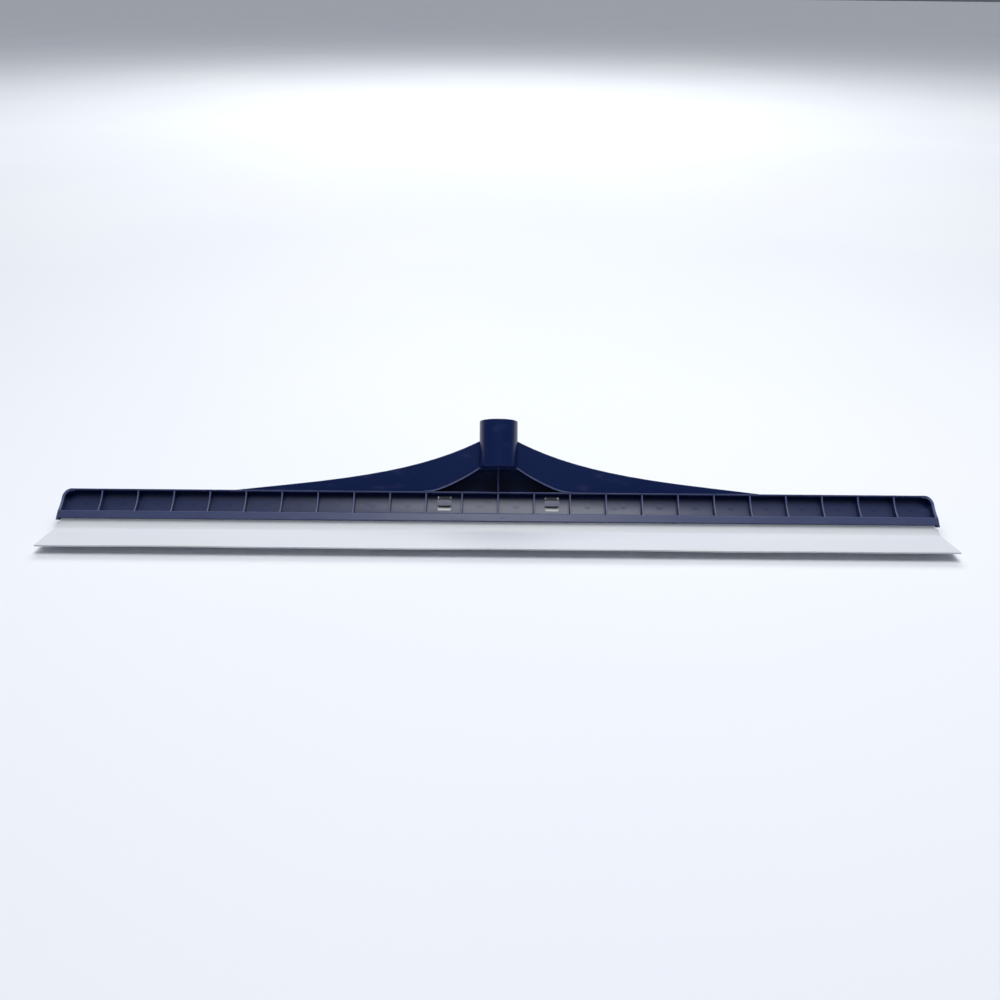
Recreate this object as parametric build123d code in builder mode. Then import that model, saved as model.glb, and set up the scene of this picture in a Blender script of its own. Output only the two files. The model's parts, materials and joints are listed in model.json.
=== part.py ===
from build123d import *
from math import cos, radians, sin, tan
import os

# Floor squeegee head lying on its back: a long moulded frame with an open ribbed side,
# a handle socket, and a snap-in cassette that carries a soft curved blade.
# Millimetres, +Z up, X along the head, +Y towards the back of the lying head.

os.makedirs("parts", exist_ok=True)

# ---- Overall head
FRAME_LENGTH = 750.0
CELL_PITCH = 31.0            # spacing of the ribs along the open side
RIB_COUNT = 23
RIB_THICKNESS = 1.4
WALL = 2.2                   # general wall of the moulding
SKIN = 2.0                   # flange, sill and rail thickness
LIP_THICKNESS = 1.4          # the rail and the arches thin to this at their front edges
EDGE_ROUND = 0.5             # soft edge on everything that faces the open side

# ---- Lying attitude: the socket axis leans back from upright by REST_LEAN
REST_LEAN = 34.0
LEAN_SIN = sin(radians(REST_LEAN))
LEAN_COS = cos(radians(REST_LEAN))

# ---- Cross-section, as (depth behind the rail's front edge, height along the socket axis)
SLOT_TILT = 20.0             # the back wall, flange and blade slot all lean by this much
TILT_SIN = sin(radians(SLOT_TILT))
TILT_COS = cos(radians(SLOT_TILT))
TILT_TAN = tan(radians(SLOT_TILT))
CELL_FLOOR = -19.3           # top of the sill under the cells
FLANGE_FRONT = -7.4          # depth of the flange's front face at the cell floor
FLANGE_BOTTOM = -26.0
WALL_FRONT = 0.1             # depth of the back wall's front face at the cell floor
WALL_BOTTOM = -25.0
WALL_HOLLOW = 0.8            # the back wall is dished by this much in its middle
FRONT_BOW = 1.7              # how far the ribs' front edges curve in from straight
TAB_DROP = 1.6               # the end walls reach this far below the flange
FOOT_DEPTH = 16.0            # tip of the rear foot, behind the rail's front edge
END_ROUND = 8.0              # rounded upper corners of the frame
END_WALL = 2.2

# ---- Handle socket
SOCKET_RADIUS = 16.5
BORE_RADIUS = 12.6           # for a 25 mm handle
SOCKET_AXIS_DEPTH = 1.0
SOCKET_FOOT = 21.3
SOCKET_TOP = 61.3
BORE_DEPTH = 36.5
SLEEVE_WALL = 2.6            # the frame's sleeve behind the socket
SLEEVE_TOP = 43.0

# ---- Wings, mirrored: (distance from the middle, height above the rail)
PANEL_FRONT = 1.0            # the wing panel lies this far behind the rail's front edge
WING_TOP = ((15.5, 44.6), (60.0, 26.8), (110.0, 15.0), (165.0, 7.0), (232.0, -0.6))
ARCH = ((13.0, 22.2), (28.8, 12.0), (40.0, 6.2), (52.0, 1.2), (64.0, -0.8))
RIM_DEPTH = 9.0
WEB_POSITIONS = (77.5, 108.5, 139.5, 170.5)
HUMP_DEPTH = 16.5            # rear face of the pocket under the socket

# ---- Snap windows and clips
CLIP_OFFSET = 46.5           # each clip's distance from the middle
WINDOW_WIDTH = 11.4
UPPER_WINDOW = (-6.0, -3.9)
LOWER_WINDOW = (-16.2, -12.6)
BRIDGE_PROUD = 0.8
CLIP_WIDTH = 10.6
CLIP_THICKNESS = 1.8
CLIP_REACH = 20.6            # top of the tongue above the slot's ceiling
CLIP_GAP = 0.3
CLIP_RELIEF = 0.9            # the wall's rear is cut back by this much along each clip

# ---- Blade cassette, in slot coordinates (behind the slot's middle, above its ceiling)
SLOT_WIDTH = (WALL_FRONT - FLANGE_FRONT) * TILT_COS - SKIN
CARRIER_HALF = SLOT_WIDTH / 2 - 0.22
CARRIER_TOP = -1.2
CARRIER_EXIT = -6.2
CARRIER_LENGTH = 743.0
POCKET = (1.0, -2.6)         # the clip's seat in the carrier: front face and floor
BEAD_HEIGHT = -4.0
BEAD_RADIUS = 1.45
BEAD_PLAY = 0.05
NECK_HALF = 0.8
FLARE_HALF = 2.1             # the blade is this thick each way where it meets the carrier
BLADE_MIDDLE = -0.3          # the blade's middle plane where it leaves the carrier

# ---- Soft blade
BLADE_LENGTH = 749.0
BLADE_ROOT_HALF = 1.2
HINGE_DROP = -9.7            # the flex line, below the slot's ceiling
BLADE_TIP_HALF = 0.7
BLADE_GAP = 0.3              # between the fixed root and the flexing lip
BEND_RADIUS = 11.0
BEND_ANGLE = 47.0
BLADE_FLAT = 34.5            # straight stretch beyond the bend

# ---- Derived places in the section
CEILING = CELL_FLOOR - SKIN
SLOT_MIDDLE = ((WALL_FRONT + FLANGE_FRONT + SKIN / TILT_COS) / 2 + (CEILING - CELL_FLOOR) * TILT_TAN)
ROOT_END = HINGE_DROP + BLADE_ROOT_HALF + BLADE_GAP


def wall_face(height):
    """Depth of the back wall's front face at a height."""
    return WALL_FRONT + (height - CELL_FLOOR) * TILT_TAN


def wall_rear(height):
    """Depth of the back wall's rear face at a height."""
    return wall_face(height) + WALL / TILT_COS


def bridge_face(height):
    """Depth of the front face of the bridges between the snap windows."""
    return wall_face(height) - BRIDGE_PROUD


def flange_face(height):
    """Depth of the flange's front face at a height."""
    return FLANGE_FRONT + (height - CELL_FLOOR) * TILT_TAN


def slot_to_section(back, up):
    """A point in slot coordinates as (depth, height)."""
    return (
        SLOT_MIDDLE + back * TILT_COS + up * TILT_SIN,
        CEILING - back * TILT_SIN + up * TILT_COS,
    )


def drop(depth, height):
    """How far a section point lies below the rail's front edge when the head lies down."""
    return -height * LEAN_COS + depth * LEAN_SIN


RAIL_DEPTH = wall_rear(0)

# The blade's bend is the lowest thing in front, so the rear foot is cut to stand level with it.
bend_centre = slot_to_section(BLADE_MIDDLE - BEND_RADIUS, HINGE_DROP)
REST_HEIGHT = drop(*bend_centre) + BEND_RADIUS + BLADE_ROOT_HALF
FOOT_BOTTOM = (FOOT_DEPTH * LEAN_SIN - REST_HEIGHT) / LEAN_COS
MIDDLE_SHIFT = 8.35         # puts the origin under the middle of the lying head

# ---- Working planes
UP = Vector(0, LEAN_SIN, LEAN_COS)
BACK = Vector(0, LEAN_COS, -LEAN_SIN)
RAIL_EDGE = Vector(0, MIDDLE_SHIFT, REST_HEIGHT)
section = Plane(origin=RAIL_EDGE, x_dir=BACK, z_dir=(1, 0, 0))
front = Plane(origin=RAIL_EDGE, x_dir=(1, 0, 0), z_dir=-BACK)
SLOT_BACK = BACK * TILT_COS - UP * TILT_SIN
slot_origin = RAIL_EDGE + BACK * SLOT_MIDDLE + UP * CEILING
slot_section = Plane(origin=slot_origin, x_dir=SLOT_BACK, z_dir=(1, 0, 0))


def socket_plane(height):
    """Plane across the socket's axis at a height."""
    origin = RAIL_EDGE + BACK * SOCKET_AXIS_DEPTH + UP * height
    return Plane(origin=origin, x_dir=(1, 0, 0), z_dir=UP)


def behind(depth):
    """Plane parallel to the open side, at a depth behind the rail's front edge."""
    return front.offset(-depth)


def leaning_wall(face, top, bottom, thickness):
    """Section of a wall that follows a leaning face between two heights."""
    across = thickness / TILT_COS
    with BuildSketch(Plane.XY) as wall:
        with BuildLine():
            Polyline(
                (face(top), top),
                (face(bottom), bottom),
                (face(bottom) + across, bottom),
                (face(top) + across, top),
                close=True,
            )
        make_face()
    return wall.sketch


def front_curve():
    """The open side's edge, bowed in past the cells down to the flange."""
    middle = (flange_face(CELL_FLOOR) / 2 + FRONT_BOW * TILT_COS, CELL_FLOOR / 2 - FRONT_BOW * TILT_SIN)
    return ThreePointArc((0, 0), middle, (flange_face(CELL_FLOOR), CELL_FLOOR))


def wing_outline():
    """One wing's panel between its top edge and the arch over the pocket."""
    with BuildSketch(Plane.XY) as outline:
        with BuildLine():
            Spline(*WING_TOP)
            Line(WING_TOP[-1], ARCH[-1])
            Spline(*reversed(ARCH))
            Line(ARCH[0], WING_TOP[0])
        make_face()
    return outline.sketch


def edge_strip(points, rise):
    """A strip between a wing curve and the same curve moved up by rise."""
    with BuildSketch(Plane.XY) as strip:
        with BuildLine():
            lower = Spline(*points)
            upper = Spline(*[(across, height + rise) for across, height in points])
            Line(lower @ 0, upper @ 0)
            Line(lower @ 1, upper @ 1)
        make_face()
    return strip.sketch


# ---- Frame: the tray that runs the whole length
with BuildPart() as frame:
    with BuildSketch(section) as tray:
        with BuildLine():
            wall_top = (wall_face(-SKIN), -SKIN)
            wall_middle = (
                wall_face(-SKIN / 2 + CELL_FLOOR / 2) + WALL_HOLLOW * TILT_COS,
                -SKIN / 2 + CELL_FLOOR / 2 - WALL_HOLLOW * TILT_SIN,
            )
            wall_foot = (wall_face(CELL_FLOOR), CELL_FLOOR)
            Polyline((0, 0), (0, -LIP_THICKNESS), wall_top)
            ThreePointArc(wall_top, wall_middle, wall_foot)
            Polyline(
                wall_foot,
                (flange_face(CELL_FLOOR), CELL_FLOOR),
                (flange_face(FLANGE_BOTTOM), FLANGE_BOTTOM),
                (flange_face(FLANGE_BOTTOM) + SKIN / TILT_COS, FLANGE_BOTTOM),
                (flange_face(CEILING) + SKIN / TILT_COS, CEILING),
                (wall_face(CEILING), CEILING),
                (wall_face(WALL_BOTTOM), WALL_BOTTOM),
                (wall_rear(WALL_BOTTOM), WALL_BOTTOM),
                (wall_rear(FOOT_BOTTOM), FOOT_BOTTOM),
                (FOOT_DEPTH, FOOT_BOTTOM),
                (FOOT_DEPTH, FOOT_BOTTOM + SKIN),
                (wall_rear(FOOT_BOTTOM + SKIN), FOOT_BOTTOM + SKIN),
                (RAIL_DEPTH, 0),
                (0, 0),
            )
        make_face()
        for corner, radius in (
            ((0, 0), EDGE_ROUND),
            ((0, -LIP_THICKNESS), EDGE_ROUND),
            ((RAIL_DEPTH, 0), 1.2),
            (wall_foot, 1.6),
            ((flange_face(CELL_FLOOR), CELL_FLOOR), EDGE_ROUND),
            ((flange_face(FLANGE_BOTTOM), FLANGE_BOTTOM), EDGE_ROUND),
            ((FOOT_DEPTH, FOOT_BOTTOM + SKIN), EDGE_ROUND),
        ):
            fillet(tray.vertices().sort_by_distance(corner)[0], radius)
    extrude(amount=FRAME_LENGTH / 2 - 1, both=True)

    # Bridges between the snap windows, standing a little proud of the back wall
    for side in (-1, 1):
        with BuildSketch(section.offset(side * CLIP_OFFSET - WINDOW_WIDTH / 2 - 0.6)):
            add(leaning_wall(bridge_face, UPPER_WINDOW[0] - 0.9, LOWER_WINDOW[1] + 0.6, BRIDGE_PROUD + WALL_HOLLOW + 0.4))
        extrude(amount=WINDOW_WIDTH + 1.2)

# ---- Frame: thin ribs across the open side
with BuildPart() as rib:
    with BuildSketch(section):
        with BuildLine():
            front_curve()
            Polyline(
                (flange_face(CELL_FLOOR), CELL_FLOOR),
                (flange_face(CELL_FLOOR) + 0.4, CELL_FLOOR - SKIN / 2),
                (wall_face(CELL_FLOOR) + WALL / 2, CELL_FLOOR - SKIN / 2),
                (wall_face(0) + WALL / 2, -SKIN / 2),
                (0.6, -SKIN / 2),
                (0, 0),
            )
        make_face()
    extrude(amount=RIB_THICKNESS / 2, both=True)
    nose = rib.edges().filter_by(GeomType.CIRCLE)
    fillet(nose, EDGE_ROUND)

# ---- Frame: end walls with a rounded upper corner and a tab below the flange
with BuildPart() as end_wall:
    with BuildSketch(section.offset(FRAME_LENGTH / 2)):
        tab_bottom = FLANGE_BOTTOM - TAB_DROP
        with BuildLine():
            front_curve()
            Polyline(
                (flange_face(CELL_FLOOR), CELL_FLOOR),
                (flange_face(tab_bottom), tab_bottom),
                (flange_face(tab_bottom) + 3.4, tab_bottom),
                (wall_face(WALL_BOTTOM), WALL_BOTTOM),
                (wall_rear(WALL_BOTTOM), WALL_BOTTOM),
                (wall_rear(FOOT_BOTTOM), FOOT_BOTTOM),
                (FOOT_DEPTH, FOOT_BOTTOM),
                (FOOT_DEPTH, FOOT_BOTTOM + SKIN),
                (RAIL_DEPTH, 0),
                (0, 0),
            )
        make_face()
    extrude(amount=-(END_ROUND + 2))
    with BuildSketch(behind(-30)):
        with Locations((FRAME_LENGTH / 2 - 40, -30)):
            RectangleRounded(80, 60, END_ROUND)
        with Locations((FRAME_LENGTH / 2 - 40 - END_WALL, -30 - SKIN)):
            RectangleRounded(80, 60, END_ROUND - SKIN, mode=Mode.SUBTRACT)
    extrude(amount=-80, mode=Mode.INTERSECT)

# ---- Frame: everything joined
with BuildPart() as wings:
    with BuildSketch(behind(PANEL_FRONT)):
        add(wing_outline())
    extrude(amount=-WALL)
    fillet(wings.edges().filter_by(GeomType.BSPLINE).sort_by(Axis(RAIL_EDGE, -BACK))[-2:], EDGE_ROUND)
    with BuildSketch(behind(PANEL_FRONT + WALL / 2)):
        add(edge_strip(WING_TOP, -WALL))
    extrude(amount=-(RIM_DEPTH - PANEL_FRONT - WALL / 2))
    with BuildSketch(front):
        add(edge_strip(ARCH, LIP_THICKNESS))
    extrude(amount=-HUMP_DEPTH)

with BuildPart() as webs:
    with BuildSketch(behind(PANEL_FRONT + WALL / 2)):
        add(wing_outline())
    extrude(amount=-(RIM_DEPTH - PANEL_FRONT - WALL / 2) + 0.6)
    with BuildSketch(front):
        for position in WEB_POSITIONS:
            with Locations((position, 20)):
                Rectangle(RIB_THICKNESS, 60)
    extrude(amount=-RIM_DEPTH, mode=Mode.INTERSECT)

with BuildPart() as pocket:
    # Rear wall of the pocket under the socket, its floor and its middle rib
    with BuildSketch(behind(HUMP_DEPTH - WALL)):
        with BuildLine():
            Spline(*ARCH)
            Line(ARCH[-1], (-ARCH[-1][0], ARCH[-1][1]))
            Spline(*[(-across, height) for across, height in reversed(ARCH)])
            Line((-ARCH[0][0], ARCH[0][1]), ARCH[0])
        make_face()
    extrude(amount=-WALL)
    with BuildSketch(front.offset(-RAIL_DEPTH / 2)):
        with Locations((0, -SKIN / 2)):
            Rectangle(2 * ARCH[-1][0], SKIN)
    extrude(amount=-(HUMP_DEPTH - RAIL_DEPTH / 2))
    with BuildSketch(behind(EDGE_ROUND)):
        with Locations((0, SOCKET_FOOT / 2)):
            Rectangle(RIB_THICKNESS, SOCKET_FOOT)
    extrude(amount=-(HUMP_DEPTH - WALL))

with BuildPart() as sleeve:
    with BuildSketch(socket_plane(SOCKET_FOOT - SKIN)):
        Circle(SOCKET_RADIUS + SLEEVE_WALL)
    extrude(amount=SLEEVE_TOP - SOCKET_FOOT + SKIN)
    with BuildSketch(behind(PANEL_FRONT)):
        with Locations((0, SOCKET_TOP / 2)):
            Rectangle(60, SOCKET_TOP + 20)
    extrude(amount=-40, mode=Mode.INTERSECT)

with frame:
    for step in range(RIB_COUNT):
        offset_x = (step - (RIB_COUNT - 1) / 2) * CELL_PITCH
        add(rib.part.moved(Location((offset_x, 0, 0))))
    # The tray's ends are cut back behind the rounded corners before the end walls close them
    with BuildSketch(behind(-30)):
        Rectangle(FRAME_LENGTH + 40, 200)
        with Locations((0, -60)):
            RectangleRounded(FRAME_LENGTH, 120, END_ROUND, mode=Mode.SUBTRACT)
        with Locations((0, 60)):
            Rectangle(FRAME_LENGTH - 40, 121, mode=Mode.SUBTRACT)
    extrude(amount=-80, mode=Mode.SUBTRACT)
    for half in (wings.part, webs.part, end_wall.part):
        add(half)
        add(half.mirror(Plane.YZ))
    add(pocket.part)
    add(sleeve.part)
    with BuildSketch(socket_plane(SOCKET_FOOT)):
        Circle(SOCKET_RADIUS)
    extrude(amount=SOCKET_TOP, mode=Mode.SUBTRACT)
    # Snap windows, and the notches that let each clip pass the slot's rear wall
    with BuildSketch(behind(-20)):
        for low, high in (UPPER_WINDOW, LOWER_WINDOW):
            with Locations((-CLIP_OFFSET, (low + high) / 2), (CLIP_OFFSET, (low + high) / 2)):
                Rectangle(WINDOW_WIDTH, high - low)
    extrude(amount=-50, mode=Mode.SUBTRACT)
    relief = SLOT_WIDTH / 2 + WALL - CLIP_RELIEF
    clip_back = relief + CLIP_GAP + CLIP_THICKNESS + CLIP_GAP
    for side in (-1, 1):
        with BuildSketch(slot_section.offset(side * CLIP_OFFSET - WINDOW_WIDTH / 2)):
            with BuildLine():
                Polyline(
                    (CARRIER_HALF, -12),
                    (CARRIER_HALF, CARRIER_TOP + CLIP_GAP),
                    (relief, CARRIER_TOP + CLIP_GAP),
                    (relief, CLIP_REACH + CLIP_GAP),
                    (clip_back, CLIP_REACH + CLIP_GAP),
                    (clip_back, -12),
                    close=True,
                )
            make_face()
        extrude(amount=WINDOW_WIDTH, mode=Mode.SUBTRACT)
frame.part.label = "frame"
export_step(frame.part, "parts/frame.step")

# ---- Handle socket: a blind tube bonded into the frame's sleeve
with BuildPart() as handle_socket:
    with BuildSketch(socket_plane(SOCKET_FOOT)):
        Circle(SOCKET_RADIUS)
    extrude(amount=SOCKET_TOP - SOCKET_FOOT)
    fillet(handle_socket.edges().filter_by(GeomType.CIRCLE), EDGE_ROUND)
    with BuildSketch(socket_plane(SOCKET_TOP)):
        Circle(BORE_RADIUS)
    extrude(amount=-BORE_DEPTH, mode=Mode.SUBTRACT)
    rings = handle_socket.edges().filter_by(GeomType.CIRCLE)
    bore_rings = rings.filter_by(lambda ring: abs(ring.radius - BORE_RADIUS) < 0.01)
    chamfer(bore_rings.sort_by(lambda ring: ring.arc_center.dot(UP))[-1], 0.8)
handle_socket.part.label = "handle_socket"
export_step(handle_socket.part, "parts/handle_socket.step")

# ---- Blade carrier: a stiff strip that slides up into the slot and grips the blade's bead
with BuildPart() as blade_carrier:
    with BuildSketch(slot_section):
        with BuildLine():
            Polyline(
                (-CARRIER_HALF, CARRIER_TOP),
                (-CARRIER_HALF, CARRIER_EXIT),
                (CARRIER_HALF, CARRIER_EXIT),
                (CARRIER_HALF, CARRIER_TOP),
                close=True,
            )
        make_face()
        with Locations((BLADE_MIDDLE, BEAD_HEIGHT)):
            Circle(BEAD_RADIUS + BEAD_PLAY, mode=Mode.SUBTRACT)
        with Locations((BLADE_MIDDLE, (BEAD_HEIGHT + CARRIER_EXIT) / 2)):
            Rectangle(
                2 * (NECK_HALF + BEAD_PLAY),
                BEAD_HEIGHT - CARRIER_EXIT,
                mode=Mode.SUBTRACT,
            )
    extrude(amount=CARRIER_LENGTH / 2, both=True)
    for side in (-1, 1):
        with BuildSketch(slot_section.offset(side * CLIP_OFFSET - CLIP_WIDTH / 2)):
            with BuildLine():
                Polyline(
                    (POCKET[0], CARRIER_TOP + 1),
                    (POCKET[0], POCKET[1]),
                    (CARRIER_HALF + 1, POCKET[1]),
                    (CARRIER_HALF + 1, CARRIER_TOP + 1),
                    close=True,
                )
            make_face()
        extrude(amount=CLIP_WIDTH, mode=Mode.SUBTRACT)
blade_carrier.part.label = "blade_carrier"
export_step(blade_carrier.part, "parts/blade_carrier.step")

# ---- Snap clips: an L whose foot sits in the carrier and whose tongue shows in the windows
tongue_front = relief + CLIP_GAP
for name, side in (("snap_clip_left", -1), ("snap_clip_right", 1)):
    with BuildPart() as snap_clip:
        with BuildSketch(slot_section.offset(side * CLIP_OFFSET - CLIP_WIDTH / 2)) as profile:
            with BuildLine():
                Polyline(
                    (POCKET[0], POCKET[1]),
                    (tongue_front + CLIP_THICKNESS, POCKET[1]),
                    (tongue_front + CLIP_THICKNESS, CLIP_REACH),
                    (tongue_front, CLIP_REACH),
                    (tongue_front, CARRIER_TOP),
                    (POCKET[0], CARRIER_TOP),
                    close=True,
                )
            make_face()
            heel = (tongue_front + CLIP_THICKNESS, POCKET[1])
            fillet(profile.vertices().sort_by_distance(heel)[0], CLIP_THICKNESS / 2)
        extrude(amount=CLIP_WIDTH)
        tip = snap_clip.faces().sort_by(Axis(slot_origin, UP))[-1]
        fillet(tip.edges().filter_by(Axis.X), EDGE_ROUND)
    snap_clip.part.label = name
    export_step(snap_clip.part, f"parts/{name}.step")

# ---- Blade root: the bead and neck inside the carrier, and the thick stretch just under it
with BuildPart() as blade_root:
    with BuildSketch(slot_section):
        with Locations((BLADE_MIDDLE, BEAD_HEIGHT)):
            Circle(BEAD_RADIUS)
        with Locations((BLADE_MIDDLE, (BEAD_HEIGHT + CARRIER_EXIT) / 2)):
            Rectangle(2 * NECK_HALF, BEAD_HEIGHT - CARRIER_EXIT)
        with BuildLine():
            Polyline(
                (BLADE_MIDDLE - FLARE_HALF, CARRIER_EXIT),
                (BLADE_MIDDLE - BLADE_ROOT_HALF, ROOT_END),
                (BLADE_MIDDLE + BLADE_ROOT_HALF, ROOT_END),
                (BLADE_MIDDLE + FLARE_HALF, CARRIER_EXIT),
                close=True,
            )
        make_face()
    extrude(amount=CARRIER_LENGTH / 2, both=True)
blade_root.part.label = "blade_root"
export_step(blade_root.part, "parts/blade_root.step")

# ---- Blade lip: a round nose on the flex line, the bend, then a tapering straight stretch
bend = radians(BEND_ANGLE)
lip_centre = Vector(BLADE_MIDDLE - BEND_RADIUS, HINGE_DROP)
outward = Vector(cos(bend), -sin(bend))
along = Vector(-sin(bend), -cos(bend))
bend_end = lip_centre + outward * BEND_RADIUS
tip_centre = bend_end + along * BLADE_FLAT
with BuildPart() as blade_lip:
    with BuildSketch(slot_section) as lip_profile:
        with BuildLine():
            inner_start = Vector(BLADE_MIDDLE - BLADE_ROOT_HALF, HINGE_DROP)
            outer_start = Vector(BLADE_MIDDLE + BLADE_ROOT_HALF, HINGE_DROP)
            inner_end = bend_end - outward * BLADE_ROOT_HALF
            outer_end = bend_end + outward * BLADE_ROOT_HALF
            half = Vector(cos(bend / 2), -sin(bend / 2))
            ThreePointArc(
                inner_start,
                lip_centre + half * (BEND_RADIUS - BLADE_ROOT_HALF),
                inner_end,
            )
            Polyline(
                inner_end,
                tip_centre - outward * BLADE_TIP_HALF,
                tip_centre + outward * BLADE_TIP_HALF,
                outer_end,
            )
            ThreePointArc(
                outer_end,
                lip_centre + half * (BEND_RADIUS + BLADE_ROOT_HALF),
                outer_start,
            )
            ThreePointArc(
                outer_start,
                (BLADE_MIDDLE, HINGE_DROP + BLADE_ROOT_HALF),
                inner_start,
            )
        make_face()
    extrude(amount=BLADE_LENGTH / 2, both=True)
blade_lip.part.label = "blade_lip"
export_step(blade_lip.part, "parts/blade_lip.step")

# ---- Facts the record needs, in metres in the row frame
flex_line = slot_section.from_local_coords(Vector(BLADE_MIDDLE, HINGE_DROP))
bore_point = RAIL_EDGE + BACK * SOCKET_AXIS_DEPTH + UP * (SOCKET_TOP - BORE_DEPTH / 2)
pull_axis = -(BACK * TILT_SIN + UP * TILT_COS)
print("flex line", flex_line / 1000)
print("bore point", bore_point / 1000, "axis", UP)
print("pull axis", pull_axis)
print("foot bottom", FOOT_BOTTOM, "rest height", REST_HEIGHT)
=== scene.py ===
"""A floor squeegee head lying on its back: frame, handle socket, clipped carrier and soft blade."""

import json
import logging
import math
from dataclasses import dataclass
from enum import Enum
from typing import Any

import bmesh
import bpy
from mathutils import Matrix, Vector


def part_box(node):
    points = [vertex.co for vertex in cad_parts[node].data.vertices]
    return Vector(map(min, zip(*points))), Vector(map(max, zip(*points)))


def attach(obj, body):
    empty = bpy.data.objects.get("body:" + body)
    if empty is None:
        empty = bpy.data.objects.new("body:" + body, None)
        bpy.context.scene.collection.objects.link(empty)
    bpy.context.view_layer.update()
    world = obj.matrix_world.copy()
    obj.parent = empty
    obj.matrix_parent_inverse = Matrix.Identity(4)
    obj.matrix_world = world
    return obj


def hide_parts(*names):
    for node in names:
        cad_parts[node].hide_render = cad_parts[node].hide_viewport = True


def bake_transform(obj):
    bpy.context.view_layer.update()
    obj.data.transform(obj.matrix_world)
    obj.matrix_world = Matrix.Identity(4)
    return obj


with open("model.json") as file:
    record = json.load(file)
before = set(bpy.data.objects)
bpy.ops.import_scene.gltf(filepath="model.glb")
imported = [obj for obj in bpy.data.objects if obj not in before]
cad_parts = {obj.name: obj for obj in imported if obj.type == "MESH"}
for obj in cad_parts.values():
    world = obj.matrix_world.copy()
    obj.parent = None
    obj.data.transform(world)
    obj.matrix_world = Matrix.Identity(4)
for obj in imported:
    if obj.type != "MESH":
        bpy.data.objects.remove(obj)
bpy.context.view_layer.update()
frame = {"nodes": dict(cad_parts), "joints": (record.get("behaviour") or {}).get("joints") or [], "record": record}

log = logging.getLogger("squeegee_head")
MM = 0.001
ACROSS = Vector((1, 0, 0))
MERGE_DISTANCE = 0.002 * MM
SHARP_ANGLE = math.radians(35)
LONG_EDGE = 0.5 * MM


class Body(Enum):
    """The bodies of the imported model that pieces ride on."""

    HEAD = "head"
    CASSETTE = "cassette"
    LIP = "lip"


class Slot(Enum):
    """The record's material slots."""

    NAVY = "navy_plastic"
    RUBBER = "white_rubber"


def linear(red: int, green: int, blue: int) -> tuple[float, float, float, float]:
    """A display colour as scene-linear light.

    Args:
        red: Red, 0 to 255.
        green: Green, 0 to 255.
        blue: Blue, 0 to 255.

    Returns:
        Linear red, green, blue and an alpha of 1.
    """
    shares = [value / 255 for value in (red, green, blue)]
    curve = [v / 12.92 if v <= 0.04045 else ((v + 0.055) / 1.055) ** 2.4 for v in shares]
    return (curve[0], curve[1], curve[2], 1.0)


# ---- Shader graphs


class Value:
    """One number in a shader graph; arithmetic on it adds Math nodes."""

    def __init__(self, graph: "MaterialGraph", socket: bpy.types.NodeSocket) -> None:
        """Wraps a socket.

        Args:
            graph: The graph that the socket belongs to.
            socket: The output that holds the number.
        """
        self.graph = graph
        self.socket = socket

    def combine(self, operation: str, *others: Any, clamp: bool = False) -> "Value":
        """Adds a Math node that takes this number first.

        Args:
            operation: The Math node's operation.
            others: Its further inputs, numbers or values.
            clamp: Whether the result is held between 0 and 1.

        Returns:
            The result.
        """
        return self.graph.math(operation, self, *others, clamp=clamp)

    def __add__(self, other: Any) -> "Value":
        """This number plus another."""
        return self.combine("ADD", other)

    def __sub__(self, other: Any) -> "Value":
        """This number less another."""
        return self.combine("SUBTRACT", other)

    def __mul__(self, other: Any) -> "Value":
        """This number times another."""
        return self.combine("MULTIPLY", other)

    def __truediv__(self, other: Any) -> "Value":
        """This number divided by another."""
        return self.combine("DIVIDE", other)

    def __rsub__(self, other: Any) -> "Value":
        """A plain number less this one."""
        return self.graph.math("SUBTRACT", other, self)

    def __rtruediv__(self, other: Any) -> "Value":
        """A plain number divided by this one."""
        return self.graph.math("DIVIDE", other, self)

    __radd__ = __add__
    __rmul__ = __mul__

    def clamped(self) -> "Value":
        """This number held between 0 and 1."""
        return self.combine("ADD", 0.0, clamp=True)


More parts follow.
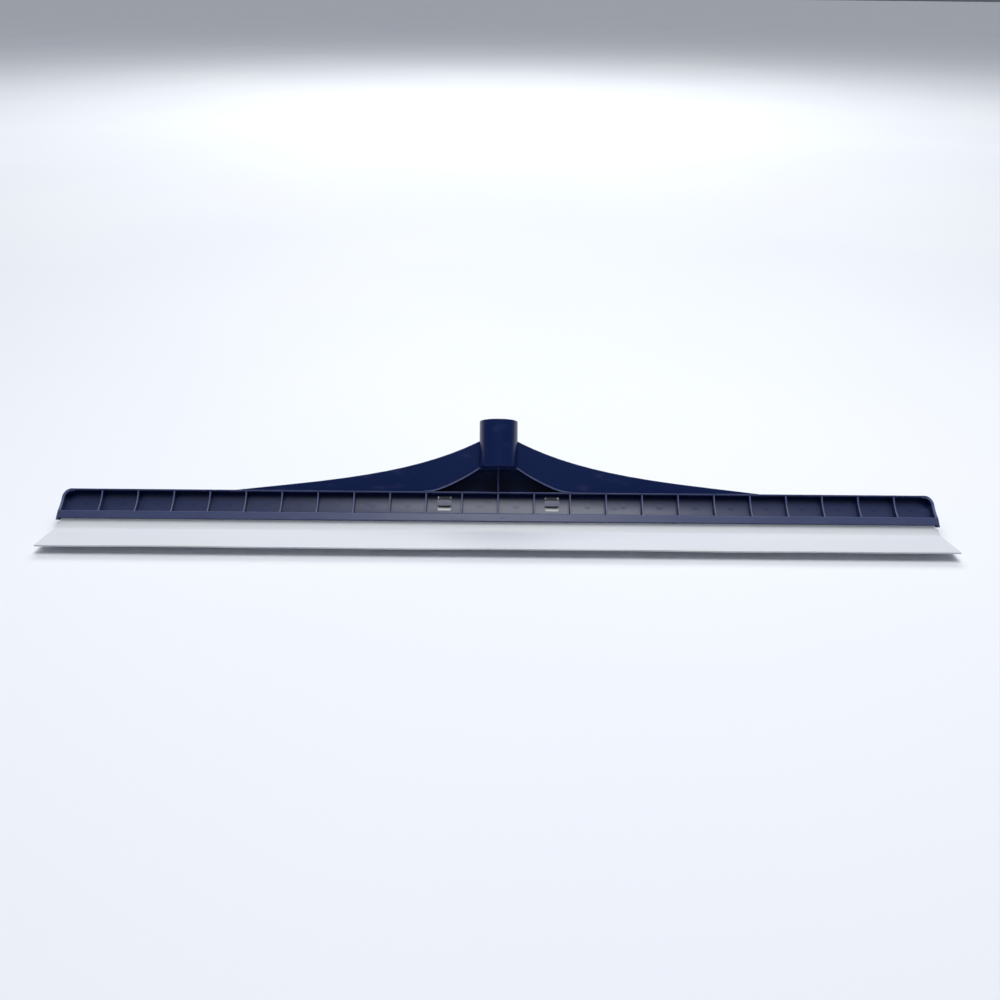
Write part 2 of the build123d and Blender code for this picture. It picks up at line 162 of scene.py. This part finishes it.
class MaterialGraph:
    """A node material under construction."""

    def __init__(self, name: str) -> None:
        """Starts an empty node tree.

        Args:
            name: The material's name.
        """
        self.material = bpy.data.materials.new(name)
        self.material.use_nodes = True
        self.tree = self.material.node_tree
        self.tree.nodes.clear()

    @staticmethod
    def socket(sockets: Any, key: str) -> bpy.types.NodeSocket:
        """Finds a socket by its identifier, or by its name.

        Args:
            sockets: A node's inputs or outputs.
            key: The identifier or the name.

        Returns:
            The socket.
        """
        exact = [item for item in sockets if item.identifier == key]
        named = [item for item in sockets if item.name == key and item.enabled]
        return (exact or named)[0]

    def node(
        self,
        kind: str,
        settings: dict[str, Any] | None = None,
        inputs: dict[str, Any] | None = None,
    ) -> bpy.types.Node:
        """Adds one node, with its settings first and its sockets after them.

        Args:
            kind: The node's type without its ShaderNode prefix.
            settings: The node's own settings.
            inputs: Values or links for its sockets.

        Returns:
            The node.
        """
        made = self.tree.nodes.new("ShaderNode" + kind)
        for key, value in (settings or {}).items():
            setattr(made, key, value)
        for key, value in (inputs or {}).items():
            self.feed(self.socket(made.inputs, key), value)
        return made

    def feed(self, target: bpy.types.NodeSocket, value: Any) -> None:
        """Links a value to a socket, or sets it there.

        Args:
            target: The input socket.
            value: A Value, an output socket, a number, a vector or a colour.
        """
        source = value.socket if isinstance(value, Value) else value
        if isinstance(source, bpy.types.NodeSocket):
            self.tree.links.new(source, target)
        else:
            target.default_value = source

    def output(self, node: bpy.types.Node, key: str) -> Value:
        """One of a node's outputs as a value."""
        return Value(self, self.socket(node.outputs, key))

    def math(self, operation: str, *terms: Any, clamp: bool = False) -> Value:
        """Adds a Math node.

        Args:
            operation: The node's operation.
            terms: Its inputs in order.
            clamp: Whether the result is held between 0 and 1.

        Returns:
            The result.
        """
        made = self.node("Math", {"operation": operation, "use_clamp": clamp})
        for target, term in zip(made.inputs, terms):
            self.feed(target, term)
        return self.output(made, "Value")

    def place(self) -> bpy.types.NodeSocket:
        """Object coordinates, in metres."""
        return self.node("TexCoord").outputs["Object"]

    def reach(self, direction: Vector, origin: Vector) -> Value:
        """How far a surface point lies from an origin along a direction.

        Args:
            direction: The unit direction.
            origin: Where the distance is zero.

        Returns:
            The distance in metres.
        """
        inputs = {"Vector": self.place(), "Vector_001": tuple(direction)}
        dot = self.node("VectorMath", {"operation": "DOT_PRODUCT"}, inputs)
        return self.output(dot, "Value") - direction.dot(origin)

    def noise(
        self,
        scale: float,
        detail: float,
        stretch: tuple[float, float, float] = (1, 1, 1),
    ) -> Value:
        """Smooth noise in object coordinates.

        Args:
            scale: How many features there are in a metre.
            detail: How many finer layers are added.
            stretch: How much the pattern is multiplied along each axis.

        Returns:
            The noise, about 0 to 1.
        """
        mapping = self.node("Mapping", None, {"Vector": self.place(), "Scale": stretch})
        inputs = {"Vector": mapping.outputs["Vector"], "Scale": scale, "Detail": detail}
        return self.output(self.node("TexNoise", None, inputs), "Fac")

    def spread(self, value: Value, low: float, high: float) -> Value:
        """Remaps a value smoothly, from 0 at low to 1 at high.

        Args:
            value: The value to remap.
            low: Where the result is 0.
            high: Where the result is 1.

        Returns:
            The result, held between 0 and 1.
        """
        inputs = {"Value": value, "From Min": low, "From Max": high}
        made = self.node("MapRange", {"interpolation_type": "SMOOTHSTEP"}, inputs)
        return self.output(made, "Result")

    def mix(self, factor: Any, first: Any, second: Any) -> bpy.types.NodeSocket:
        """Mixes two colours.

        Args:
            factor: The share of the second.
            first: The first colour.
            second: The second colour.

        Returns:
            The mixed colour's socket.
        """
        inputs = {"Factor_Float": factor, "A_Color": first, "B_Color": second}
        made = self.node("Mix", {"data_type": "RGBA"}, inputs)
        return self.socket(made.outputs, "Result_Color")

    def bump(self, height: Value, depth: float) -> bpy.types.NodeSocket:
        """A bumped normal.

        Args:
            height: The pattern, 0 to 1.
            depth: The pattern's depth in metres.

        Returns:
            The normal's socket.
        """
        made = self.node("Bump", None, {"Strength": 1.0, "Distance": depth, "Height": height})
        return made.outputs["Normal"]

    def finish(self, **sockets: Any) -> bpy.types.Material:
        """Ends the graph in a Principled shader.

        Args:
            sockets: The shader's inputs, with underscores for spaces in their names.

        Returns:
            The material.
        """
        inputs = {key.replace("_", " "): value for key, value in sockets.items()}
        shader = self.node("BsdfPrincipled", None, inputs)
        self.node("OutputMaterial", None, {"Surface": shader.outputs["BSDF"]})
        return self.material


# ---- Where things are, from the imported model


@dataclass(frozen=True)
class HeadGeometry:
    """Directions and driving lines of the head, all in metres in its own frame."""

    flex_line: Vector
    slot_down: Vector
    slot_back: Vector
    socket_up: Vector
    section_back: Vector
    rail_edge: Vector
    blade_length: float
    carrier_length: float
    cell_pitch: float = 31.0 * MM
    cell_count: int = 24
    bore_above_rail: float = 43.05 * MM
    axis_behind_rail: float = 1.0 * MM

    @classmethod
    def read(cls) -> "HeadGeometry":
        """Works the geometry out from the record's joints and mount, and from the nodes' boxes.

        Returns:
            The geometry.
        """
        joints = {joint["name"]: joint for joint in frame["joints"]}
        mount = frame["record"]["mounts"][0]
        slot_down = Vector(joints["cassette_release"]["axis"]).normalized()
        socket_up = Vector(mount["axis"]).normalized()
        section_back = socket_up.cross(ACROSS)
        if section_back.y < 0:
            section_back = -section_back
        bore_middle = Vector(mount["pos_m"])
        lip_low, lip_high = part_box("blade_lip")
        carrier_low, carrier_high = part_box("blade_carrier")
        return cls(
            flex_line=Vector(joints["blade_flex"]["pos_m"]),
            slot_down=slot_down,
            slot_back=Vector((0, -slot_down.z, slot_down.y)),
            socket_up=socket_up,
            section_back=section_back,
            rail_edge=bore_middle
            - socket_up * cls.bore_above_rail
            - section_back * cls.axis_behind_rail,
            blade_length=lip_high.x - lip_low.x,
            carrier_length=carrier_high.x - carrier_low.x,
        )

    def section_point(self, across: float, depth: float, height: float) -> Vector:
        """A point by its place along the head, and its depth and height from the rail's edge."""
        in_section = self.section_back * depth + self.socket_up * height
        return self.rail_edge + ACROSS * across + in_section


# ---- Finishes


@dataclass(frozen=True)
class MouldedPlastic:
    """Injection-moulded navy polypropylene with random scuff marks. Its front edges are painted paler, as a
    painted highlight with some wear.
    """

    name: str
    base: tuple[float, float, float, float] = linear(8, 29, 78)
    pale: tuple[float, float, float, float] = linear(30, 52, 104)
    # Paler blue used for the random scuff marks and for the painted highlight on the front edges.
    wear_and_highlight: tuple[float, float, float, float] = linear(104, 112, 150)
    roughness: float = 0.33
    coat: float = 0.05
    # edges turns on the painted highlight, with some wear, along the frame's front edges.
    edges: bool = False
    cell_floor: float = -19.3 * MM
    flange_reach: float = 7.4 * MM
    bow: float = 6.4 * MM
    slot_slope: float = 0.364
    edge_width: float = 0.7 * MM

    def front_edges_lit_and_worn(self, graph: MaterialGraph, geometry: HeadGeometry) -> Value:
        """Mask of the rail's, ribs', flange's and arches' front edges, where the painted highlight and some wear
        are laid.

        Args:
            graph: The graph to add to.
            geometry: Where the rail's edge is.

        Returns:
            1 on those edges and 0 elsewhere.
        """
        depth = graph.reach(geometry.section_back, geometry.rail_edge)
        height = graph.reach(geometry.socket_up, geometry.rail_edge)
        share = (height / self.cell_floor).clamped()
        curve = share * -self.flange_reach + share * (1 - share) * self.bow
        below = (height - self.cell_floor).combine("MINIMUM", 0.0)
        behind_edge = depth - curve - below * self.slot_slope
        edge = 1 - graph.spread(behind_edge, 0.35 * self.edge_width, self.edge_width)
        under_rail = graph.spread(height, -1.8 * MM, -1.3 * MM)
        rail = under_rail * (1 - graph.spread(height, 0.0, 0.4 * MM))
        flange = 1 - graph.spread(height, self.cell_floor - 0.5 * MM, self.cell_floor)
        return edge * (1 - rail * 0.55) * (1 - flange * 0.62)

    def build(self, geometry: HeadGeometry) -> bpy.types.Material:
        """Makes the material.

        Args:
            geometry: Where the rail's edge is.

        Returns:
            The material.
        """
        graph = MaterialGraph(self.name)
        flow = graph.noise(9.0, 3.0, (0.5, 1.6, 1.6))
        grain = graph.noise(2600.0, 2.0)
        scuff = graph.noise(140.0, 4.0, (0.35, 1.0, 1.0))
        marks = graph.spread(scuff, 0.60, 0.74)
        colour = graph.mix(graph.spread(flow, 0.30, 0.75) * 0.16, self.base, self.pale)
        colour = graph.mix(marks * 0.06, colour, self.wear_and_highlight)
        roughness = self.roughness + flow * 0.10 + marks * 0.12 - 0.05
        if self.edges:
            # Painted highlight with some wear: the front edges are lightened towards the paler blue, in place of
            # light caught on rounded edges.
            edge = self.front_edges_lit_and_worn(graph, geometry)
            colour = graph.mix(edge * (0.40 + scuff * 0.45), colour, self.wear_and_highlight)
            roughness = roughness + edge * 0.08
        return graph.finish(
            Base_Color=colour,
            Roughness=roughness.clamped(),
            Normal=graph.bump(grain * 0.7 + flow * 0.3, 0.02 * MM),
            IOR=1.41,
            Coat_Weight=self.coat,
            Coat_Roughness=0.18,
        )


@dataclass(frozen=True)
class RigidPlastic:
    """Stiff off-white strip plastic."""

    name: str
    base: tuple[float, float, float, float] = linear(232, 234, 236)
    shade: tuple[float, float, float, float] = linear(206, 210, 208)
    roughness: float = 0.42

    def build(self) -> bpy.types.Material:
        """Makes the material, with the faint drawn lines of an extruded strip.

        Returns:
            The material.
        """
        graph = MaterialGraph(self.name)
        drawn = graph.noise(900.0, 2.0, (0.01, 1.0, 1.0))
        cloud = graph.noise(40.0, 3.0)
        colour = graph.mix(graph.spread(cloud, 0.35, 0.75) * 0.5, self.base, self.shade)
        return graph.finish(
            Base_Color=colour,
            Roughness=(self.roughness + drawn * 0.1).clamped(),
            Normal=graph.bump(drawn, 0.015 * MM),
            IOR=1.5,
        )


@dataclass(frozen=True)
class SoftRubber:
    """Soft off-white blade rubber with a dry, dusty surface."""

    name: str
    base: tuple[float, float, float, float] = linear(212, 214, 220)
    # Painted light: a lighter white laid on the blade by the carrier, lifting the shade of the bend under the
    # flange.
    painted_root_light: tuple[float, float, float, float] = linear(226, 228, 232)
    cool: tuple[float, float, float, float] = linear(200, 206, 216)
    dust: tuple[float, float, float, float] = linear(206, 203, 202)
    roughness: float = 0.55

    def build(self, geometry: HeadGeometry) -> bpy.types.Material:
        """Makes the material: painted lighter by the carrier against the shade of the bend, faintly lined, dusty
        at the tip.

        Args:
            geometry: Where the flex line is.

        Returns:
            The material.
        """
        graph = MaterialGraph(self.name)
        forward = graph.reach(Vector((0, -1, 0)), geometry.flex_line)
        drawn = graph.noise(420.0, 3.0, (0.012, 1.0, 1.0))
        cloud = graph.noise(16.0, 4.0, (0.5, 1.0, 1.0))
        pits = graph.noise(1900.0, 2.0)
        # Painted light: the blade is lighter over the first 10 mm past the flex line, standing in for light on the
        # shaded bend.
        painted_root_light = 1 - graph.spread(forward, 1.0 * MM, 10.0 * MM)
        tip = graph.spread(forward, 34.0 * MM, 42.5 * MM)
        colour = graph.mix(graph.spread(cloud, 0.4, 0.7) * 0.25, self.base, self.cool)
        colour = graph.mix(painted_root_light, colour, self.painted_root_light)
        colour = graph.mix(tip * graph.spread(cloud, 0.35, 0.65) * 0.35, colour, self.dust)
        colour = graph.mix(graph.spread(drawn, 0.52, 0.72) * 0.22, colour, self.cool)
        return graph.finish(
            Base_Color=colour,
            Roughness=(self.roughness + cloud * 0.12 - drawn * 0.08).clamped(),
            Normal=graph.bump(drawn * 0.6 + pits * 0.4, 0.03 * MM),
            IOR=1.5,
            Sheen_Weight=0.12,
            Sheen_Roughness=0.5,
        )


@dataclass(frozen=True)
class StudioFloor:
    """Smooth white paper floor."""

    name: str
    base: tuple[float, float, float, float] = linear(236, 238, 242)
    faint: tuple[float, float, float, float] = linear(232, 235, 241)

    def build(self) -> bpy.types.Material:
        """Makes the material.

        Returns:
            The material.
        """
        graph = MaterialGraph(self.name)
        cloud = graph.noise(1.2, 2.0)
        colour = graph.mix(graph.spread(cloud, 0.3, 0.7), self.base, self.faint)
        return graph.finish(Base_Color=colour, Roughness=0.85, IOR=1.3)


# ---- Meshes


def settle(mesh: bmesh.types.BMesh, name: str, material: bpy.types.Material) -> bpy.types.Object:
    """Cleans a bmesh and makes it an object at the origin.

    Args:
        mesh: The finished bmesh, which is freed.
        name: The piece's name.
        material: Its material.

    Returns:
        The object.
    """
    bmesh.ops.remove_doubles(mesh, verts=mesh.verts, dist=MERGE_DISTANCE)
    bmesh.ops.recalc_face_normals(mesh, faces=mesh.faces)
    data = bpy.data.meshes.new(name)
    mesh.to_mesh(data)
    mesh.free()
    data.materials.append(material)
    piece = bpy.data.objects.new(name, data)
    bpy.context.scene.collection.objects.link(piece)
    for polygon in data.polygons:
        polygon.use_smooth = True
    data.set_sharp_from_angle(angle=SHARP_ANGLE)
    return piece


@dataclass
class WiperBlade:
    """The soft blade: a bead and neck in the carrier, a bend, and a flat that thins to its tip."""

    geometry: HeadGeometry
    finish: SoftRubber
    bead_half: float = 1.45 * MM
    neck_half: float = 0.8 * MM
    root_half: float = 1.2 * MM
    tip_half: float = 0.7 * MM
    flare_half: float = 2.1 * MM
    bead_over_flex: float = 5.7 * MM
    exit_over_flex: float = 3.5 * MM
    flare_end: float = 1.5 * MM
    flare_step: float = 0.1 * MM
    blend_reach: float = 6.5 * MM
    bend_radius: float = 11.0 * MM
    bend_angle: float = math.radians(47)
    bend_steps: int = 12
    flat_length: float = 34.5 * MM
    flat_steps: int = 12
    spans: int = 124
    ripple: float = 0.32 * MM
    ripple_start: float = 0.3
    tip_zone: float = 1.4 * MM
    tip_bevel: float = 0.22 * MM

    def cross_edge(
        self, mesh: bmesh.types.BMesh, centre: Vector, half: float
    ) -> list[bmesh.types.BMVert]:
        """The strip's first edge, across the bead's top.

        Args:
            mesh: The bmesh to add to.
            centre: The edge's middle.
            half: Half the edge's length.

        Returns:
            The edge's two vertices.
        """
        back = self.geometry.slot_back * half
        ends = [mesh.verts.new(centre - back), mesh.verts.new(centre + back)]
        mesh.edges.new(ends)
        return ends

    @staticmethod
    def grow(mesh: bmesh.types.BMesh, ends: list[bmesh.types.BMVert]) -> list[bmesh.types.BMVert]:
        """Extrudes the strip's open edge, and returns the new edge's vertices."""
        edge = mesh.edges.get(ends)
        made = bmesh.ops.extrude_edge_only(mesh, edges=[edge])
        fresh = [item for item in made["geom"] if isinstance(item, bmesh.types.BMVert)]
        return sorted(fresh, key=lambda vert: (vert.co - ends[0].co).length)

    @staticmethod
    def thin(ends: list[bmesh.types.BMVert], half: float) -> None:
        """Sets the distance between an edge's two vertices."""
        middle = (ends[0].co + ends[1].co) / 2
        across = (ends[1].co - ends[0].co).normalized()
        ends[0].co = middle - across * half
        ends[1].co = middle + across * half

    def profile(self, mesh: bmesh.types.BMesh) -> None:
        """Grows the blade's flat profile from the bead's top to the tip.

        Args:
            mesh: The bmesh to add to.
        """
        start = self.geometry.flex_line - ACROSS * self.geometry.blade_length / 2
        down = self.geometry.slot_down
        top = start - down * (self.bead_over_flex + self.bead_half)
        ends = self.cross_edge(mesh, top, self.bead_half * 0.4)
        neck_top = self.bead_over_flex - self.bead_half * 0.95
        neck_length = neck_top - self.exit_over_flex - self.flare_step
        steps = (
            (self.bead_half * 0.45, self.bead_half * 0.9),
            (self.bead_half * 0.55, self.bead_half),
            (self.bead_half * 0.6, self.bead_half * 0.85),
            (self.bead_half * 0.35, self.neck_half),
            (neck_length, self.neck_half),
            (self.flare_step, self.flare_half),
            (self.exit_over_flex - self.flare_end, self.root_half),
            (self.flare_end, self.root_half),
        )
        for length, half in steps:
            ends = self.grow(mesh, ends)
            bmesh.ops.translate(mesh, verts=ends, vec=down * length)
            self.thin(ends, half)
        centre = start - self.geometry.slot_back * self.bend_radius
        for _ in range(self.bend_steps):
            ends = self.grow(mesh, ends)
            turn = Matrix.Rotation(self.bend_sign() * self.bend_angle / self.bend_steps, 3, ACROSS)
            bmesh.ops.rotate(mesh, verts=ends, cent=centre, matrix=turn)
        along = (Matrix.Rotation(self.bend_sign() * self.bend_angle, 3, ACROSS) @ down).normalized()
        for step in range(self.flat_steps):
            ends = self.grow(mesh, ends)
            bmesh.ops.translate(mesh, verts=ends, vec=along * self.flat_length / self.flat_steps)
            share = (step + 1) / self.flat_steps
            self.thin(ends, self.root_half + (self.tip_half - self.root_half) * share)

    def bend_sign(self) -> int:
        """The sign of a turn about X that carries the blade forward from straight down."""
        turned = Matrix.Rotation(0.1, 3, ACROSS) @ self.geometry.slot_down
        return 1 if turned.dot(self.geometry.slot_back) < 0 else -1

    def shorten_root(self, mesh: bmesh.types.BMesh) -> None:
        """Draws the bead's and neck's ends in to the carrier's ends.

        Args:
            mesh: The bmesh to change.
        """
        half = self.geometry.carrier_length / 2
        for vert in mesh.verts:
            above = (self.geometry.flex_line - vert.co).dot(self.geometry.slot_down)
            if above > self.flare_end - 0.05 * MM:
                vert.co.x = max(-half, min(half, vert.co.x))

    def soften(self, mesh: bmesh.types.BMesh) -> None:
        """Rounds the tip's long edges and lets the free edge ripple a little.

        Args:
            mesh: The bmesh to change.
        """
        tip_y = min(vert.co.y for vert in mesh.verts)
        near_tip = [
            edge
            for edge in mesh.edges
            if abs(edge.verts[0].co.x - edge.verts[1].co.x) > LONG_EDGE
            and all(vert.co.y < tip_y + self.tip_zone for vert in edge.verts)
        ]
        bmesh.ops.bevel(
            mesh,
            geom=near_tip,
            offset=self.tip_bevel,
            affect="EDGES",
            segments=2,
            profile=0.5,
            material=-1,
        )
        for vert in mesh.verts:
            reach = (self.geometry.flex_line.y - vert.co.y) / (self.geometry.flex_line.y - tip_y)
            share = max(0.0, reach - self.ripple_start) / (1 - self.ripple_start)
            wave = math.sin(vert.co.x * 21.0 + 0.6) * 0.6 + math.sin(vert.co.x * 47.0 + 2.1) * 0.4
            vert.co.z += self.ripple * share * share * wave

    def build(self) -> bpy.types.Object:
        """Makes the blade, hides the imported blade_root and blade_lip nodes, and bakes the blade's transform.

        Returns:
            The blade.
        """
        mesh = bmesh.new()
        self.profile(mesh)
        made = bmesh.ops.extrude_face_region(mesh, geom=list(mesh.faces), use_keep_orig=True)
        moved = [item for item in made["geom"] if isinstance(item, bmesh.types.BMVert)]
        bmesh.ops.translate(mesh, verts=moved, vec=ACROSS * self.geometry.blade_length)
        half_blade = 0.5 * self.geometry.blade_length
        along = [edge for edge in mesh.edges if edge.calc_length() > half_blade]
        bmesh.ops.subdivide_edges(mesh, edges=along, cuts=self.spans - 1, use_grid_fill=True)
        self.shorten_root(mesh)
        self.soften(mesh)
        piece = settle(mesh, "wiper_blade", self.finish.build(self.geometry))
        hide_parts("blade_root", "blade_lip")
        self.geometry.flex_line - self.geometry.slot_down * self.flare_end
        self.geometry.flex_line + self.geometry.slot_down * self.blend_reach
        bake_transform(piece)
        log.info("%s: %d faces", piece.name, len(piece.data.polygons))
        return piece


@dataclass
class HeadMoulding:
    """The frame and the handle socket, with the small marks that moulding leaves on them."""

    geometry: HeadGeometry
    frame_finish: MouldedPlastic
    socket_finish: MouldedPlastic
    pin_radius: float = 2.6 * MM
    pin_proud: float = 0.22 * MM
    pin_height: float = -11.6 * MM
    wall_depth: float = 3.72 * MM
    pin_segments: int = 28
    pin_bevel_share: float = 0.3
    wall_lean: float = math.radians(20)
    window_cell: float = 1.5

    def dress(self) -> None:
        """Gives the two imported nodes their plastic."""
        for node, finish in (("frame", self.frame_finish), ("handle_socket", self.socket_finish)):
            data = frame["nodes"][node].data
            data.materials.clear()
            data.materials.append(finish.build(self.geometry))
            log.info("%s: dressed as %s", node, finish.name)

    def pin_marks(self) -> bpy.types.Object:
        """The round ejector-pin marks on the back wall, but not in the cells with snap windows.

        Returns:
            The marks, as one piece.
        """
        mesh = bmesh.new()
        outward = -self.geometry.section_back * math.cos(self.wall_lean)
        outward = outward + self.geometry.socket_up * math.sin(self.wall_lean)
        aim = outward.to_track_quat("Z", "X").to_matrix().to_4x4()
        for step in range(self.geometry.cell_count):
            across = (step - (self.geometry.cell_count - 1) / 2) * self.geometry.cell_pitch
            if abs(abs(across) - self.window_cell * self.geometry.cell_pitch) < MM:
                continue
            centre = self.geometry.section_point(across, self.wall_depth, self.pin_height)
            made = bmesh.ops.create_cone(
                mesh,
                cap_ends=True,
                segments=self.pin_segments,
                radius1=self.pin_radius,
                radius2=self.pin_radius,
                depth=2 * self.pin_proud,
                matrix=Matrix.Translation(centre) @ aim,
            )
            rim = {edge for vert in made["verts"] for edge in vert.link_edges}
            front = [
                edge
                for edge in rim
                if all((vert.co - centre).dot(outward) > 0 for vert in edge.verts)
            ]
            bmesh.ops.bevel(
                mesh,
                geom=front,
                offset=self.pin_bevel_share * self.pin_proud,
                affect="EDGES",
                segments=1,
                profile=0.5,
                material=-1,
            )
        piece = settle(mesh, "pin_marks", self.frame_finish.build(self.geometry))
        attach(piece, Body.HEAD.value)
        log.info("%s: %d faces", piece.name, len(piece.data.polygons))
        return piece

    def build(self) -> None:
        """Dresses the mouldings and adds their marks."""
        self.dress()
        self.pin_marks()


@dataclass
class BladeCassette:
    """The stiff carrier and its two snap clips."""

    carrier_finish: RigidPlastic
    clip_finish: RigidPlastic

    def build(self) -> None:
        """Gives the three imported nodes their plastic."""
        carrier = self.carrier_finish.build()
        clips = self.clip_finish.build()
        for node, material in (
            ("blade_carrier", carrier),
            ("snap_clip_left", clips),
            ("snap_clip_right", clips),
        ):
            data = frame["nodes"][node].data
            data.materials.clear()
            data.materials.append(material)
            log.info("%s: dressed as %s", node, material.name)


# ---- Studio


@dataclass
class Studio:
    """Floor, lights and camera."""

    geometry: HeadGeometry
    floor_finish: StudioFloor
    floor_radius: float = 60.0
    elevation: float = math.radians(30)
    camera_distance: float = 0.7624
    camera_drop: float = 0.0069
    camera_side: float = 0.0016
    roll: float = math.radians(-0.5)
    lens: float = 31.85
    key_height: float = 1.6
    key_tilt: float = math.radians(3)
    key_size: tuple[float, float] = (0.95, 0.56)
    key_side: float = 0.06
    key_power: float = 14.0
    back_place: tuple[float, float, float] = (0.0, 3.0, 2.6)
    back_size: tuple[float, float] = (3.0, 2.2)
    back_power: float = 85.0
    sky: tuple[float, float, float, float] = (0.90, 0.94, 1.0, 1.0)
    wall: tuple[float, float, float, float] = (0.10, 0.11, 0.125, 1.0)
    sky_strength: float = 0.95
    sky_axis: tuple[float, float, float] = (0.0, 0.25, 0.97)
    sky_rim: float = 0.58
    sky_full: float = 0.95

    def floor(self) -> None:
        """Lays a large round floor."""
        mesh = bmesh.new()
        bmesh.ops.create_circle(mesh, cap_ends=True, segments=96, radius=self.floor_radius)
        stage = settle(mesh, "studio_floor", self.floor_finish.build())

    def softbox(
        self,
        name: str,
        place: Vector,
        aim: Vector,
        size: tuple[float, float],
        power: float,
    ) -> None:
        """Hangs one softbox.

        Args:
            name: The light's name.
            place: Where its middle is.
            aim: The point that it faces.
            size: Its width and depth in metres.
            power: Its power in watts.
        """
        data = bpy.data.lights.new(name, "AREA")
        data.shape = "RECTANGLE"
        data.size, data.size_y = size
        data.energy = power
        box = bpy.data.objects.new(name, data)
        box.location = place
        box.rotation_euler = (place - aim).to_track_quat("Z", "Y").to_euler()
        bpy.context.scene.collection.objects.link(box)

    def surround(self) -> None:
        """Surrounds the studio with a bright ceiling and dim walls."""
        world = bpy.data.worlds.new("surround")
        world.use_nodes = True
        bpy.context.scene.world = world
        nodes, links = world.node_tree.nodes, world.node_tree.links
        coordinates = nodes.new("ShaderNodeTexCoord")
        lift = nodes.new("ShaderNodeVectorMath")
        lift.operation = "DOT_PRODUCT"
        lift.inputs[1].default_value = self.sky_axis
        share = nodes.new("ShaderNodeMapRange")
        share.interpolation_type = "SMOOTHSTEP"
        share.inputs["From Min"].default_value = self.sky_rim
        share.inputs["From Max"].default_value = self.sky_full
        colour = nodes.new("ShaderNodeMix")
        colour.data_type = "RGBA"
        background = nodes["Background"]
        MaterialGraph.socket(colour.inputs, "A_Color").default_value = self.wall
        MaterialGraph.socket(colour.inputs, "B_Color").default_value = self.sky
        background.inputs["Strength"].default_value = self.sky_strength
        links.new(coordinates.outputs["Generated"], lift.inputs[0])
        links.new(lift.outputs["Value"], share.inputs["Value"])
        links.new(share.outputs["Result"], MaterialGraph.socket(colour.inputs, "Factor_Float"))
        links.new(MaterialGraph.socket(colour.outputs, "Result_Color"), background.inputs["Color"])

    def lights(self) -> None:
        """Hangs the key over the head and a wide box over the floor behind it."""
        aim = self.geometry.rail_edge
        tilt = self.key_tilt
        away = Vector((self.key_side, -math.sin(tilt), math.cos(tilt))).normalized()
        self.softbox("key", aim + away * self.key_height, aim, self.key_size, self.key_power)
        behind = Vector(self.back_place)
        under = Vector((behind.x, behind.y, 0))
        self.softbox("back", behind, under, self.back_size, self.back_power)
        self.surround()

    def camera(self) -> None:
        """Sets the camera in front of the ribbed side, a little above it."""
        forward = Vector((0, math.cos(self.elevation), -math.sin(self.elevation)))
        upward = Vector((0, math.sin(self.elevation), math.cos(self.elevation)))
        data = bpy.data.cameras.new("camera")
        data.lens = self.lens
        data.sensor_width = 36.0
        data.clip_start, data.clip_end = 0.01, 200.0
        view = bpy.data.objects.new("camera", data)
        turned = Matrix.Rotation(self.roll, 3, forward)
        right, upward = turned @ ACROSS, turned @ upward
        place = self.geometry.rail_edge - forward * self.camera_distance
        place = place - upward * self.camera_drop + ACROSS * self.camera_side
        basis = Matrix((right, upward, -forward)).transposed().to_4x4()
        view.matrix_world = Matrix.Translation(place) @ basis
        bpy.context.scene.collection.objects.link(view)
        bpy.context.scene.camera = view

    def build(self) -> None:
        """Makes the whole studio."""
        self.floor()
        self.lights()
        self.camera()
        bpy.context.scene.view_settings.view_transform = "Standard"


def main() -> None:
    """Builds the studio, the head, the cassette and the blade."""
    logging.basicConfig(level=logging.INFO, format="%(name)s: %(message)s")
    geometry = HeadGeometry.read()
    Studio(geometry, StudioFloor("floor_paper")).build()
    HeadMoulding(
        geometry,
        MouldedPlastic("navy_moulding", edges=True),
        MouldedPlastic("navy_socket", roughness=0.3, coat=0.1),
    ).build()
    BladeCassette(
        RigidPlastic("carrier_plastic"),
        RigidPlastic("clip_plastic", base=linear(216, 222, 214)),
    ).build()
    WiperBlade(geometry, SoftRubber("blade_rubber")).build()


if __name__ == "__main__":
    main()
